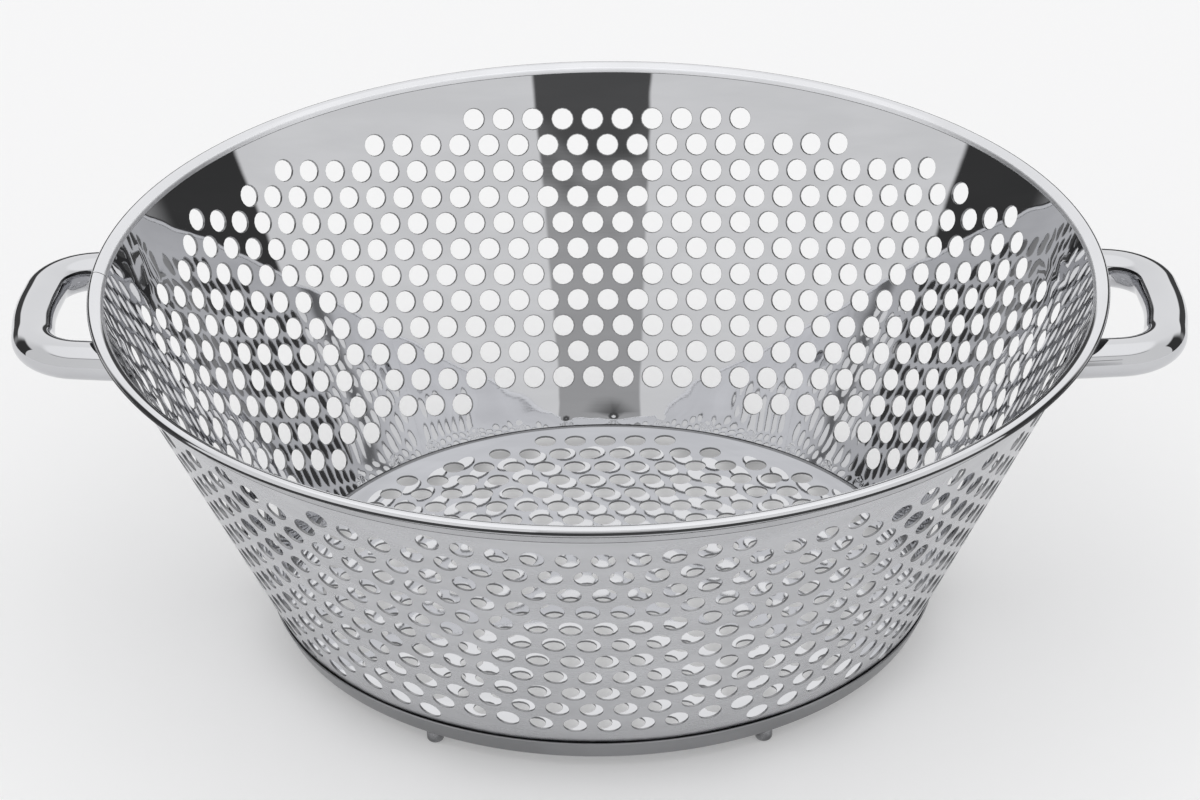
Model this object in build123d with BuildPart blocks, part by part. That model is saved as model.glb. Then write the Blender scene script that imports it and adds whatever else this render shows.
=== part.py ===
from build123d import *
from math import atan2, ceil, cos, degrees, floor, hypot, radians, sin, sqrt, tan
import os

# A stainless steel colander. Two punched half sheets are bent to a cone and welded edge to edge.
# They stand in a punched floor pan, whose edge is turned up round them as a low collar. A round
# wire ring stiffens the top edge, two bent bars are welded on as handles, and six studs lift the
# pan off the table.
#
# Millimetres and degrees. The origin is on the table, under the middle of the floor. The handles
# lie along X, and the bowl opens upwards, along Z.

os.makedirs("parts", exist_ok=True)

# Driving dimensions: the sheet and its welds
sheet = 0.6              # thickness of the wall and of the floor
weld_gap = 0.2           # room that a weld fills between two pieces
overrun = 4.0            # how far a cutting shape runs past what it cuts

# The bowl
wall_angle = 25.2        # how far the wall leans out from upright
floor_radius = 80.3      # where the inside of the wall meets the floor
rim_height = 91.4        # top of the rim above the table
seam_gap = 0.3           # between the two half sheets, at each side

# The punching: holes in staggered rows, the same on the wall and on the floor
hole_pitch = 8.0         # from one hole to the next along a row
hole_width = 6.0
first_row = 17.1         # from the edge of the sheet down to the middle of the top windows
blank_top = 8.1          # unpunched band under the edge of the sheet
blank_bottom = 5.8       # unpunched band above the floor
blank_seam = 1.8         # unpunched strip along each seam
patch_depth = 15.2       # unpunched patch where a handle is welded on, down the seam from the edge
blank_floor = 5.7        # unpunched band round the edge of the floor

# The real sheets have over a thousand round holes. In the solid, square windows stand for them, each
# for a block of this many holes across and as many rows. A window has the open area of its block,
# which gives its side as a share of the holes' width. With 1 here, every hole is cut.
holes_per_side = 2
window_share = 0.886
round_sides = 8          # flat sides that stand for a round wire or stud

# The floor pan
collar_height = 5.3      # top of the turned-up edge above the underside of the pan
pan_bevel = 0.8          # flat bevel that stands for the outside of the bend
pan_turn = 0.4           # how far the pan is turned in the wall, as it was welded

# The rim ring
ring_wire = 3.2
ring_slit = 0.3          # where the ends of the wire meet, on the left
edge_share = 0.5         # how far the sheet rises beside the upper half of the wire

# The handles
bar_width = 10.7         # seen from above
bar_height = 8.5
bar_bevel = 2.2          # flat bevels that stand for the rounding of the bar's four edges
handle_reach = 27.8      # from the wall to the outside of the bar
handle_drop = 11.5       # from the top of the rim down to the middle of the bar
wall_span = 49.3         # between the middles of the arms at the wall
tip_span = 45.1          # the same at the outer corners
handle_bow = 2.5         # how far the outer length bows outward
corner_bend = 12.8       # bend radius of the corners, at the middle of the bar
bow_bend = 60.0          # bend radius of the bow

# The feet
foot_count = 6
foot_inset = 1.3         # from the foot of the wall in to the circle that they stand on
foot_width = 4.2
foot_height = 3.3
foot_round = 1.3         # rounding of the lower edge, which leaves a small flat

# Worked out from the sizes above: heights, and distances outside the inner face of the wall
lean = radians(wall_angle)
floor_top = foot_height + sheet
weld_face = sheet + weld_gap
ring_height = rim_height - ring_wire / 2
edge_height = ring_height + ring_wire / 2 * edge_share


def wall_radius(height, off=0):
    """Radius at this height of the cone that lies this far outside the wall's inner face."""
    return floor_radius + (height - floor_top) * tan(lean) + off / cos(lean)


# The flat half sheet is a sector, measured from the tip of the cone that it is bent to
tip_height = floor_top - floor_radius / tan(lean)
sheet_start = floor_radius / sin(lean)
sheet_end = (edge_height - tip_height) / cos(lean)
sector = radians(90) * sin(lean)        # from the middle line of the half sheet to its seam
window_pitch = hole_pitch * holes_per_side
window_row = window_pitch * sin(radians(60))
window = hole_width * holes_per_side * window_share


def staggered(first, last, level, reach):
    """Windows of the rows first to last, out to this reach each side. Row 0 lies at this level and
    has a window on the middle line, and so has every second row above and below it."""
    columns = ceil(reach / window_pitch)
    for row in range(first, last + 1):
        shift = window_pitch / 2 * (row % 2)
        for column in range(-columns, columns + 1):
            yield column * window_pitch + shift, level - row * window_row


def is_punched(across, up):
    """Whether the flat half sheet has a window here: clear of its edges and of the weld patches."""
    from_tip = hypot(across, up)
    from_seam = up * sin(sector) - abs(across) * cos(sector)
    along_seam = up * cos(sector) + abs(across) * sin(sector)
    clear_of_edges = (
        from_tip - window / 2 >= sheet_start + blank_bottom
        and from_tip + window / 2 <= sheet_end - blank_top
        and from_seam - window / 2 >= blank_seam
    )
    return clear_of_edges and along_seam + window / 2 <= sheet_end - patch_depth


# Back half of the wall. Each window is a short arc of a square ring, cut between two upright planes
# through the axis and two level ones.
windows = []
row_count = ceil((sheet_end - sheet_start * cos(sector)) / window_row)
for across, up in staggered(0, row_count, sheet_end - first_row, sheet_end):
    if is_punched(across, up):
        radius = hypot(across, up) * sin(lean)
        height = tip_height + hypot(across, up) * cos(lean)
        turn = degrees(atan2(across, up) / sin(lean))
        arc = degrees(window / radius)
        with BuildPart() as cutter:
            with BuildSketch(Plane.XZ.rotated((0, 0, 90 - turn - arc / 2))):
                with Locations((radius, height)):
                    Rectangle(2 * overrun, window * cos(lean))
            revolve(axis=Axis.Z, revolution_arc=arc)
        windows.append(cutter.part)

with BuildPart() as wall_back:
    with BuildSketch(Plane.XZ):
        with BuildLine():
            Polyline(
                (wall_radius(floor_top), floor_top),
                (wall_radius(floor_top, sheet), floor_top),
                (wall_radius(edge_height, sheet), edge_height),
                (wall_radius(edge_height), edge_height),
                close=True,
            )
        make_face()
    revolve(axis=Axis.Z, revolution_arc=180)
    with BuildSketch(Plane.XZ):
        with Locations((0, edge_height / 2)):
            Rectangle(2 * wall_radius(edge_height, sheet) + overrun, edge_height + overrun)
    extrude(amount=seam_gap / 2, both=True, mode=Mode.SUBTRACT)
    add(windows, mode=Mode.SUBTRACT)
wall_back.part.label = "wall_back"
export_step(wall_back.part, "parts/wall_back.step")

# Front half of the wall: the same sheet, turned half round
with BuildPart() as wall_front:
    add(wall_back.part, rotation=(0, 0, 180))
wall_front.part.label = "wall_front"
export_step(wall_front.part, "parts/wall_front.step")

# Floor pan: a punched disc whose edge is bent up round the foot of the wall
collar_top = foot_height + collar_height
collar_face = weld_face + sheet
with BuildPart() as floor_pan:
    with BuildSketch(Plane.XZ):
        with BuildLine():
            underside = Polyline(
                (0, foot_height),
                (wall_radius(foot_height, collar_face), foot_height),
                (wall_radius(collar_top, collar_face), collar_top),
            )
            topside = Polyline(
                (0, floor_top),
                (wall_radius(floor_top, weld_face), floor_top),
                (wall_radius(collar_top, weld_face), collar_top),
            )
            Line(underside @ 0, topside @ 0)
            Line(underside @ 1, topside @ 1)
        make_face()
        chamfer(vertices().group_by(Axis.Y)[0].sort_by(Axis.X)[-1], length=pan_bevel)
    revolve(axis=Axis.Z)
    reach = floor_radius - blank_floor - window / 2
    row_count = floor(reach / window_row)
    openings = [
        spot for spot in staggered(-row_count, row_count, 0, reach) if hypot(*spot) <= reach
    ]
    with BuildSketch(Plane.XY.rotated((0, 0, pan_turn))):
        with Locations(*openings):
            Rectangle(window, window)
    extrude(amount=floor_top + overrun, mode=Mode.SUBTRACT)
floor_pan.part.label = "floor_pan"
export_step(floor_pan.part, "parts/floor_pan.step")
print(len(windows), "windows in each half of the wall,", len(openings), "in the floor")

# Rim ring: a round wire bent to a ring outside the top edge of the wall
with BuildPart() as rim_ring:
    with BuildSketch(Plane.XZ):
        with Locations((wall_radius(ring_height, weld_face + ring_wire / 2), ring_height)):
            RegularPolygon(ring_wire / 2, round_sides)
    revolve(axis=Axis.Z)
    with BuildSketch(Plane.YZ):
        with Locations((0, ring_height)):
            Rectangle(ring_slit, ring_wire + overrun)
    extrude(amount=-2 * wall_radius(rim_height), mode=Mode.SUBTRACT)
rim_ring.part.label = "rim_ring"
export_step(rim_ring.part, "parts/rim_ring.step")

# Right handle: a bar with bevelled edges along a flat D, its ends cut to the cone of the wall
bar_level = rim_height - handle_drop
bar_tip = wall_radius(bar_level, sheet) + handle_reach - bar_width / 2
arm_start = sqrt(wall_radius(bar_level) ** 2 - (wall_span / 2 + bar_width / 2) ** 2) - overrun
with BuildPart() as handle_right:
    with BuildLine(Plane.XY.offset(bar_level)) as path:
        FilletPolyline(
            (arm_start, -wall_span / 2),
            (bar_tip - handle_bow, -tip_span / 2),
            (bar_tip, 0),
            (bar_tip - handle_bow, tip_span / 2),
            (arm_start, wall_span / 2),
            radius=(corner_bend, bow_bend, corner_bend),
        )
    with BuildSketch(Plane(origin=path.wire() @ 0, z_dir=path.wire() % 0, x_dir=(0, 0, 1))):
        Rectangle(bar_height, bar_width)
        chamfer(vertices(), length=bar_bevel)
    sweep()
    with BuildSketch(Plane.XZ):
        with BuildLine():
            Polyline(
                (0, floor_top),
                (wall_radius(floor_top, weld_face), floor_top),
                (wall_radius(rim_height, weld_face), rim_height),
                (0, rim_height),
                close=True,
            )
        make_face()
    revolve(axis=Axis.Z, mode=Mode.SUBTRACT)
handle_right.part.label = "handle_right"
export_step(handle_right.part, "parts/handle_right.step")

# Left handle: the same bar on the other side
with BuildPart() as handle_left:
    add(handle_right.part, rotation=(0, 0, 180))
handle_left.part.label = "handle_left"
export_step(handle_left.part, "parts/handle_left.step")

# Feet: domed studs under the pan, turned with it, the first one to the right of the front
foot_step = 360 / foot_count
for number in range(foot_count):
    direction = number * foot_step - 90 + foot_step / 2 + pan_turn
    place = Vector(floor_radius - foot_inset, 0).rotate(Axis.Z, direction)
    with BuildPart() as foot:
        with BuildSketch(Plane(origin=place)):
            RegularPolygon(foot_width / 2, round_sides)
        extrude(amount=foot_height)
        chamfer(foot.edges().group_by(Axis.Z)[0], length=foot_round)
    foot.part.label = f"foot_{number + 1}"
    export_step(foot.part, f"parts/foot_{number + 1}.step")
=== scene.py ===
# %% [markdown]
# # A punched steel colander
# The bowl is two punched half sheets rolled to a cone. They stand in a punched floor pan, a rolled
# rim grips the top edge, two bent bars are the handles, and six studs are the feet. The solid model
# gives every size and place. This script adds what the solids leave out: all the round holes with
# their rolled lips, the folded section of the rim, the soft section of the bars, the dents of the
# spot welds, and the steel.
#
# The solid model comes first, as a fixed frame. Each of its twelve pieces is replaced further down
# by a finer one in the same place.

import bpy
import numpy as np
from mathutils import Matrix, Vector
from mathutils.geometry import delaunay_2d_cdt


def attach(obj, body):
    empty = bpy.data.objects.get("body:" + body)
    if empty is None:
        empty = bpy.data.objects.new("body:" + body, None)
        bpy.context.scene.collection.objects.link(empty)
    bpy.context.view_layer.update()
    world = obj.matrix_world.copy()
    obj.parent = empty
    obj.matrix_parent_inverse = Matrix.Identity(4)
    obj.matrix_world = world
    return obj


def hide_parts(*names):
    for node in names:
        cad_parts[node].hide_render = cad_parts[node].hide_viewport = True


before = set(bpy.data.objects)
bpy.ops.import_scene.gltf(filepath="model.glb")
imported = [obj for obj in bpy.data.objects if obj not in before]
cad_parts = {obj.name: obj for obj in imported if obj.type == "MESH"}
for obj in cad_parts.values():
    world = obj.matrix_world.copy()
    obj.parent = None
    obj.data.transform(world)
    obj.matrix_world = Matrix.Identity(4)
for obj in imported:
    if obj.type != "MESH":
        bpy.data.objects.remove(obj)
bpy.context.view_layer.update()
print("frame:", sorted(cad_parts))

# %% [markdown]
# ## Sizes
# These are the sizes of the real piece in millimetres. They could be measured on the solids, but a
# list of named sizes reads like the maker's own drawing. A point is worked out in millimetres and
# is turned into metres only when its mesh is made.

# %% Sizes of the bowl
MM = 0.001  # a millimetre in metres
SHEET = 0.6  # thickness of the steel sheet
LEAN_DEGREES = 25.2  # how far the wall leans out
LEAN = np.radians(LEAN_DEGREES)
FLOOR_RADIUS = 80.3  # where the inside of the wall meets the floor
FLOOR_TOP, FLOOR_UNDER = 3.9, 3.3  # heights of the floor's two faces above the table
EDGE_HEIGHT = 90.6  # top of the sheet in the drawing, from which the punching is measured
LIP_HEIGHT = 89.6  # where the rim begins inside the bowl
SHEET_TOP = LIP_HEIGHT - 0.13  # the sheet ends here, inside the rim
print("the bowl is", FLOOR_RADIUS, "mm in radius at the floor and leans out", LEAN_DEGREES, "degrees")

# %% [markdown]
# ## The cone and its flat sheet
# A cone can be cut open and laid flat without any stretching, which is why the wall of a bowl like
# this can be punched flat. Laid flat, half of the wall is a sector of a ring. Two numbers place
# every point on it: how far it is from the cone's tip, and at which angle.

# %% Measures of the flat sheet
TIP = FLOOR_TOP - FLOOR_RADIUS / np.tan(LEAN)  # height of the cone's tip, under the table
SHEET_START = FLOOR_RADIUS / np.sin(LEAN)  # distances from the tip along the sheet
SHEET_END = (EDGE_HEIGHT - TIP) / np.cos(LEAN)
SECTOR = np.radians(90) * np.sin(LEAN)  # middle line to seam on the flat half sheet
print("flat half sheet:", round(SHEET_START, 1), "to", round(SHEET_END, 1), "mm from the tip")


def wall_radius(height, off=0.0):
    """Radius of the wall at a height, on the cone this far outside the wall's inner face: the
    radius at the floor, plus the rise times the tangent of the lean, plus off over its cosine."""
    return FLOOR_RADIUS + (height - FLOOR_TOP) * np.tan(LEAN) + off / np.cos(LEAN)


# %% [markdown]
# ## From numbers to a mesh
# A mesh is a list of points and a list of faces. Pieces could also be pushed and pulled into shape
# with modifiers, but then their measures are hard to find again. Here most pieces are rows of
# points, worked out as whole arrays, and a band of four-sided faces joins each row to the next.


# %% Circles, rows and bands
def full_turn(count):
    """Angles of a full turn in even steps, from 0 to one step before the start."""
    return np.arange(count) * 2 * np.pi / count


def on_circle(turns):
    """Points on a circle of radius 1: the cosine and the sine of each angle."""
    return np.stack([np.cos(turns), np.sin(turns)], -1)


def unit(vectors):
    """The same directions with length 1: each vector divided by its length."""
    return vectors / np.linalg.norm(vectors, axis=-1, keepdims=True)


def loop_edges(numbers):
    """Each number with the next one, and the last with the first, along the last axis."""
    return numbers, np.roll(numbers, -1, axis=-1)


def band(lower, upper):
    """Quads between two closed rows of point numbers, looking to the right of the lower row."""
    (a, b), (d, c) = loop_edges(lower), loop_edges(upper)
    return np.stack([a, b, c, d], -1).reshape(-1, 4)


print("a band between two rows of four points:", band(np.arange(4), np.arange(4, 8)).tolist())

# %% [markdown]
# ## One helper for every mesh
# The helper below takes points and faces, and can also take the exact direction in which the
# surface looks at each point. On polished steel that matters: a mirror shows the smallest error of
# a flat triangle, and exact directions hide the triangles. A sheet also brings a map of its flat
# form, on which the grain of the steel is drawn later.

# %% Mesh helper
FLAT_UNIT = 100  # millimetres of the flat sheet to one unit of its map


def make_piece(name, points, faces, looks=None, flat=None, groups=None, heat=None):
    """A mesh object from points in mm and a list of face arrays, each of triangles or of quads.

    looks is the outward direction at each point, flat is its place in mm on the unrolled sheet, and
    groups gives the material number of each face array. heat is how much a weld has tinted a point.
    """
    mesh = bpy.data.meshes.new(name)
    mesh.from_pydata((points * MM).tolist(), [], [face for part in faces for face in part.tolist()])
    mesh.polygons.foreach_set("use_smooth", np.ones(len(mesh.polygons), bool))
    if groups is not None:
        numbers = np.concatenate([np.full(len(part), group) for part, group in zip(faces, groups)])
        mesh.polygons.foreach_set("material_index", numbers.astype(np.int32))
    if flat is not None:
        corner = np.empty(len(mesh.loops), np.int32)
        mesh.loops.foreach_get("vertex_index", corner)
        flat_map = mesh.uv_layers.new(name="flat_sheet")
        flat_map.data.foreach_set("uv", (flat[corner] / FLAT_UNIT).astype(np.float32).ravel())
    if heat is not None:
        tint = mesh.attributes.new("heat", "FLOAT", "POINT")
        tint.data.foreach_set("value", heat.astype(np.float32))
    if looks is not None:
        mesh.normals_split_custom_set_from_vertices(looks.tolist())
    mesh.validate(clean_customdata=False)
    piece = bpy.data.objects.new(name, mesh)
    bpy.context.scene.collection.objects.link(piece)
    triangles = sum(len(part) * (part.shape[1] - 2) for part in faces)
    print(f"{name}: {len(points)} points, {triangles} triangles")
    return piece


# %% [markdown]
# ## The punching
# A punch leaves round holes in staggered rows, 8 mm apart. They could be cut from a finished cone
# with booleans, but over a thousand of those are slow and leave poor triangles. The real sheet
# shows a better way: it is punched while it is flat, and rolled afterwards. So the holes are laid
# out on the flat sheet, and a blank band is kept along its edges and where a handle is welded on.

# %% Sizes of the punching
HOLE_PITCH = 8.0
ROW_STEP = HOLE_PITCH * np.sin(np.radians(60))
HOLE_RADIUS = 3.0  # of the punch. The blank bands are measured from it
WALL_RADII = 2.93, 2.79  # of a finished hole inside the bowl and outside it
FLOOR_RADII = 2.79, 2.88  # the same on top of the floor and under it
FIRST_ROW = 13.6  # from the edge of the sheet down to the middle of the top row
BLANK_TOP, BLANK_BOTTOM, BLANK_SEAM = 8.1, 5.8, 1.8
PATCH_DEPTH, PATCH_WIDTH = 15.2, 49.6  # blank patch under a handle, measured at the seam
print("rows of holes:", round(ROW_STEP, 2), "mm apart, holes along a row:", HOLE_PITCH, "mm")


# %% Hole centres on the flat half sheet
def wall_holes():
    """Centres as (across, up) from the cone's tip. Even rows are shifted by half a pitch. The grid
    is larger than the sheet, and only the holes that clear its edges and patches are kept."""
    rows, columns = np.meshgrid(np.arange(24), np.arange(-30, 31), indexing="ij")
    across = HOLE_PITCH * (columns + 0.5 * (rows % 2 == 0))
    up = SHEET_END - FIRST_ROW - rows * ROW_STEP
    from_tip = np.hypot(across, up)
    from_seam = up * np.sin(SECTOR) - abs(across) * np.cos(SECTOR)
    along_seam = up * np.cos(SECTOR) + abs(across) * np.sin(SECTOR)
    inside = from_tip - HOLE_RADIUS >= SHEET_START + BLANK_BOTTOM
    inside &= from_tip + HOLE_RADIUS <= SHEET_END - BLANK_TOP
    inside &= from_seam - HOLE_RADIUS >= BLANK_SEAM
    patch = (from_seam < PATCH_WIDTH) & (along_seam + HOLE_RADIUS > SHEET_END - PATCH_DEPTH)
    keep = inside & ~patch
    return np.stack([across[keep], up[keep]], -1)


print("holes in each half of the wall:", len(wall_holes()))


# %% Hole centres on the floor
def floor_holes(reach=71.6, turn=np.radians(0.6), shift=2.2):
    """Centres of a staggered field out to this reach, turned and then moved towards the back. The
    pan was welded on turned a little, and its blank was cut out a little off the field's middle."""
    rows, columns = np.meshgrid(np.arange(-12, 13), np.arange(-12, 13), indexing="ij")
    x = HOLE_PITCH * (columns + 0.5 * (rows % 2))
    y = rows * ROW_STEP
    keep = np.hypot(x, y) <= reach
    x, y = x[keep], y[keep]
    along = x * np.sin(turn) + y * np.cos(turn) + shift
    return np.stack([x * np.cos(turn) - y * np.sin(turn), along], -1)


print("holes in the floor:", len(floor_holes()))

# %% [markdown]
# ## The flat net
# The flat sheet between its outline and its holes has to be filled with triangles. A Delaunay
# triangulation makes them as even as the points allow, and the constrained kind keeps every edge
# that it is given, so each hole stays round. Loose points are added where the sheet is blank, so
# that no triangle grows long, and more of them where the sheet will be dented.

# %% Points of the net
HOLE_SIDES = 16
BLANK_STEP = 4.0  # between loose points on the blank sheet
EXTRA_GAP, HOLE_GAP, EDGE_GAP = 1.2, 1.0, 0.8  # least room from a loose point to its neighbours


def circle_points(centres, radius):
    """Points round every hole, as an array of hole by point: centre plus radius times circle."""
    return centres[:, None] + radius * on_circle(full_turn(HOLE_SIDES))


def far_from(points, others, gap):
    """Which points lie further than the gap from all the others, in blocks to save memory."""
    keep = np.ones(len(points), bool)
    for start in range(0, len(points), 500):
        block = points[start : start + 500]
        distance = np.hypot(*(block[:, None] - others[None]).transpose(2, 0, 1))
        keep[start : start + 500] = distance.min(1) > gap
    return keep


def loose_points(outline, centres, extra, radius):
    """A square grid on the blank sheet and the extra points, clear of the holes and the edge."""
    spans = zip(outline.min(0), outline.max(0))
    grid = np.meshgrid(*(np.arange(low, high, BLANK_STEP) for low, high in spans))
    loose = np.stack([grid[0].ravel(), grid[1].ravel()], -1)
    if len(extra):
        loose = np.concatenate([loose[far_from(loose, extra, EXTRA_GAP)], extra])
    loose = loose[far_from(loose, centres, radius + HOLE_GAP)]
    return loose[far_from(loose, outline, EDGE_GAP)]


print("corners round one hole:", circle_points(np.zeros((1, 2)), WALL_RADII[0]).shape[1])

# %% Triangles of the net
LIP = 0.09  # rounding of a punched edge
INSIDE = 1  # asks the triangulation for the inside of the outline
SAME_PLACE = 1e-6  # closer points would be merged


def flat_net(outline, centres, extra, radius):
    """Points and triangles of the flat sheet, and the numbers of its border and hole points. The
    points are the outline, then the rims of the holes, hole by hole, and then the loose points."""
    rims = circle_points(centres, radius)
    loose = loose_points(outline, centres, extra, radius)
    points = np.concatenate([outline, rims.reshape(-1, 2), loose])
    border = np.arange(len(outline))
    circles = len(outline) + np.arange(rims[..., 0].size).reshape(len(centres), HOLE_SIDES)
    edges = np.stack(loop_edges(circles), -1).reshape(-1, 2)
    net = delaunay_2d_cdt(
        [Vector(point) for point in points.tolist()], edges.tolist(), [border.tolist()], INSIDE, SAME_PLACE
    )
    assert len(net[0]) == len(points), "the flat net moved or added a point"
    triangles = np.array(net[2])
    triangles = triangles[far_from(points[triangles].mean(1), centres, radius - LIP)]
    side_a = points[triangles[:, 1]] - points[triangles[:, 0]]
    side_b = points[triangles[:, 2]] - points[triangles[:, 0]]
    turned = side_a[:, 0] * side_b[:, 1] < side_a[:, 1] * side_b[:, 0]
    triangles[turned] = triangles[turned][:, ::-1]
    used = np.isin(np.arange(len(points)), triangles)
    return points[used], (np.cumsum(used) - 1)[triangles], border, circles


print("a punched edge is rounded by", LIP, "mm")

# %% [markdown]
# ## A punched sheet
# A punched sheet has two faces, and a real hole has a rolled lip, a bore and a second lip. The net
# is used twice, once for each face, and every hole is lined with three narrow bands. One function
# places any point of the flat sheet in space, at any depth in the steel. With another function the
# same net serves the level floor as well as the cone.

# %% Both faces and the lined holes
LOOK_STEP = 0.02  # length of the short steps that tell which way a face looks


def sheet_looks(place, across, up, depth):
    """Direction of a face: the cross product of a short step across and a short step up."""
    east = place(across + LOOK_STEP, up, depth) - place(across - LOOK_STEP, up, depth)
    north = place(across, up + LOOK_STEP, depth) - place(across, up - LOOK_STEP, depth)
    return unit(np.cross(east, north))


def punched_sheet(outline, centres, extra, radii, place):
    """Points, looks, flat places, face arrays and border rows of a sheet with lined holes.

    place(across, up, depth) puts a point in space. Depth 0 is the face that looks along across
    times up, and depth SHEET is the other face. In a bore, a look runs to the middle of the hole.
    """
    near, triangles, border, circles = flat_net(outline, centres, extra, radii[0] + LIP)
    far = near.copy()
    far[circles] = circle_points(centres, radii[1] + LIP)
    points = [place(*near.T, 0.0), place(*far.T, SHEET)]
    looks = [sheet_looks(place, *near.T, 0.0), -sheet_looks(place, *far.T, SHEET)]
    bores = [circle_points(centres, radius).reshape(-1, 2) for radius in radii]
    middle = np.repeat(centres, HOLE_SIDES, 0)
    for bore, depth in zip(bores, (LIP, SHEET - LIP)):
        points.append(place(*bore.T, depth))
        looks.append(unit(place(*middle.T, depth) - points[-1]))
    count = len(near)
    rows = [circles, 2 * count + np.arange(circles.size).reshape(circles.shape)]
    rows += [rows[1] + circles.size, circles + count]
    lining = np.concatenate([band(a, b) for a, b in zip(rows, rows[1:])])
    faces = [triangles, triangles[:, ::-1] + count, lining]
    flat = np.concatenate([near, far, *bores])
    return np.concatenate(points), np.concatenate(looks), flat, faces, (border, border + count)


print("faces that line one hole:", 3 * HOLE_SIDES)

# %% [markdown]
# ## Marks of the welds
# A spot weld presses a small dent into the foot of the wall. The weld of a handle's arm draws the
# sheet into a wide, shallow pucker with ripples round it. On a mirror these show from afar, by the
# way they bend the reflections. They could be sculpted, but a sum of bell curves round known spots
# is even, can be measured, and moves with the sizes.

# %% Places of the welds
WELD_STEP = np.radians(9.05)  # between spot welds round the bowl
WELD_START = np.radians(1.0)
WELD_LIMIT = np.radians(87)  # no spot weld lies nearer to a seam
WELD_UP, WELD_WANDER = 1.5, 0.3  # from the floor up to the row of spot welds, and its unevenness
ARM_LEVEL, ARM_SIDE = 79.9, 24.6  # height of a handle's arms, and their distance from its middle
BEAD_SPOTS, BEAD_TURN = 7, 0.4  # ripples round one arm, and the angle of the first in radians
BEAD_ACROSS, BEAD_UP = 6.2, 5.0  # how far they lie from the arm's middle


def weld_spots():
    """Flat places of the spot welds, in even steps. As by hand, each is a little off its height:
    a cosine of its number gives by how much."""
    turns = WELD_START + np.arange(-10, 11) * WELD_STEP
    turns = turns[abs(turns) < WELD_LIMIT] * np.sin(LEAN)
    reach = SHEET_START + WELD_UP + WELD_WANDER * np.cos(5.1 * np.arange(len(turns)))
    return np.stack([reach * np.sin(turns), reach * np.cos(turns)], -1)


def pucker_spots():
    """Flat places where the arms are welded on: one at each end of the half sheet."""
    turn = (np.radians(90) - np.arcsin(ARM_SIDE / wall_radius(ARM_LEVEL))) * np.sin(LEAN)
    reach = (ARM_LEVEL - TIP) / np.cos(LEAN)
    return np.array([[side * reach * np.sin(turn), reach * np.cos(turn)] for side in (-1, 1)])


def ripple_spots():
    """Flat places where the weld bead round an arm draws the sheet in: an uneven ring, which two
    waves push in and out by up to a millimetre."""
    turn = full_turn(BEAD_SPOTS) + BEAD_TURN
    across = (BEAD_ACROSS + np.cos(3.1 * turn)) * np.cos(turn)
    up = (BEAD_UP + np.sin(2.3 * turn)) * np.sin(turn)
    return (pucker_spots()[:, None] + np.stack([across, up], -1)).reshape(-1, 2)


print("spot welds on each half:", len(weld_spots()), "and ripples:", len(ripple_spots()))

# %% Shape of the marks
DENT, DENT_WIDTH = 0.05, 0.7  # depth and width of a spot weld
PUCKER, PUCKER_WIDTH = 0.3, 6.5
RIPPLE, RIPPLE_WIDTH = 0.06, 1.7
DRAWN, DRAWN_MORE, DRAWN_WIDTH = 0.15, 0.06, 6.5  # how far the collar draws in the foot of the wall
DRAWN_TIMES = 14  # how often it draws more and less in a full turn


def bells(across, up, spots, width):
    """A sum of bell curves of height 1 round the spots, exp(-d^2 / 2w^2)."""
    total = np.zeros_like(across)
    for spot in spots:
        distance = (across - spot[0]) ** 2 + (up - spot[1]) ** 2
        total = total + np.exp(-distance / (2 * width**2))
    return total


def dents(across, up):
    """How far the sheet is pressed outward: bells round the welds, less a bell along the foot,
    exp(-(h/w)^2), whose height goes up and down with the cosine of the angle round the bowl."""
    pressed = -DENT * bells(across, up, weld_spots(), DENT_WIDTH)
    pressed += PUCKER * bells(across, up, pucker_spots(), PUCKER_WIDTH)
    pressed -= RIPPLE * bells(across, up, ripple_spots(), RIPPLE_WIDTH)
    turn = np.arctan2(across, up) / np.sin(LEAN)
    drawn = DRAWN + DRAWN_MORE * np.cos(DRAWN_TIMES * (turn - WELD_START))
    return pressed - drawn * np.exp(-(((np.hypot(across, up) - SHEET_START) / DRAWN_WIDTH) ** 2))


print("pressed outward at the arms in mm:", dents(*pucker_spots().T).round(2))

# %% [markdown]
# ## The wall
# Rolling a flat sector to a cone keeps every distance from the tip and opens every angle by the
# same factor. That is the whole formula, and the holes follow it as the real ones do: round on the
# flat, round on the cone. The back and the front are the same sheet turned half round, and the
# front one was punched 0.7 mm further to one side.


# %% Roll the flat sheet to a cone
def rolled(across, up, depth, half=1):
    """A flat point on the cone: its distance from the tip is kept and its angle there is divided
    by the sine of the lean. half is 1 for the back sheet and -1 for the front one."""
    from_tip = np.hypot(across, up)
    turn = np.arctan2(across, up) / np.sin(LEAN)
    off = depth + dents(across, up)
    radius = from_tip * np.sin(LEAN) + off * np.cos(LEAN)
    height = TIP + from_tip * np.cos(LEAN) - off * np.sin(LEAN)
    return np.stack([half * radius * np.sin(turn), half * radius * np.cos(turn), height], -1)


middle_top = rolled(np.zeros(1), np.full(1, SHEET_END), 0.0)[0]
print("top of the sheet's middle line on the cone in mm:", middle_top.round(2))

# %% Outline of the half sheet
SEAM_GAP = 0.05  # from a seam to the middle plane
FOOT_GAP = 0.12  # from the floor to the foot of the sheet
SHORT_POINTS, LONG_POINTS, SEAM_POINTS = 96, 128, 32


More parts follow.
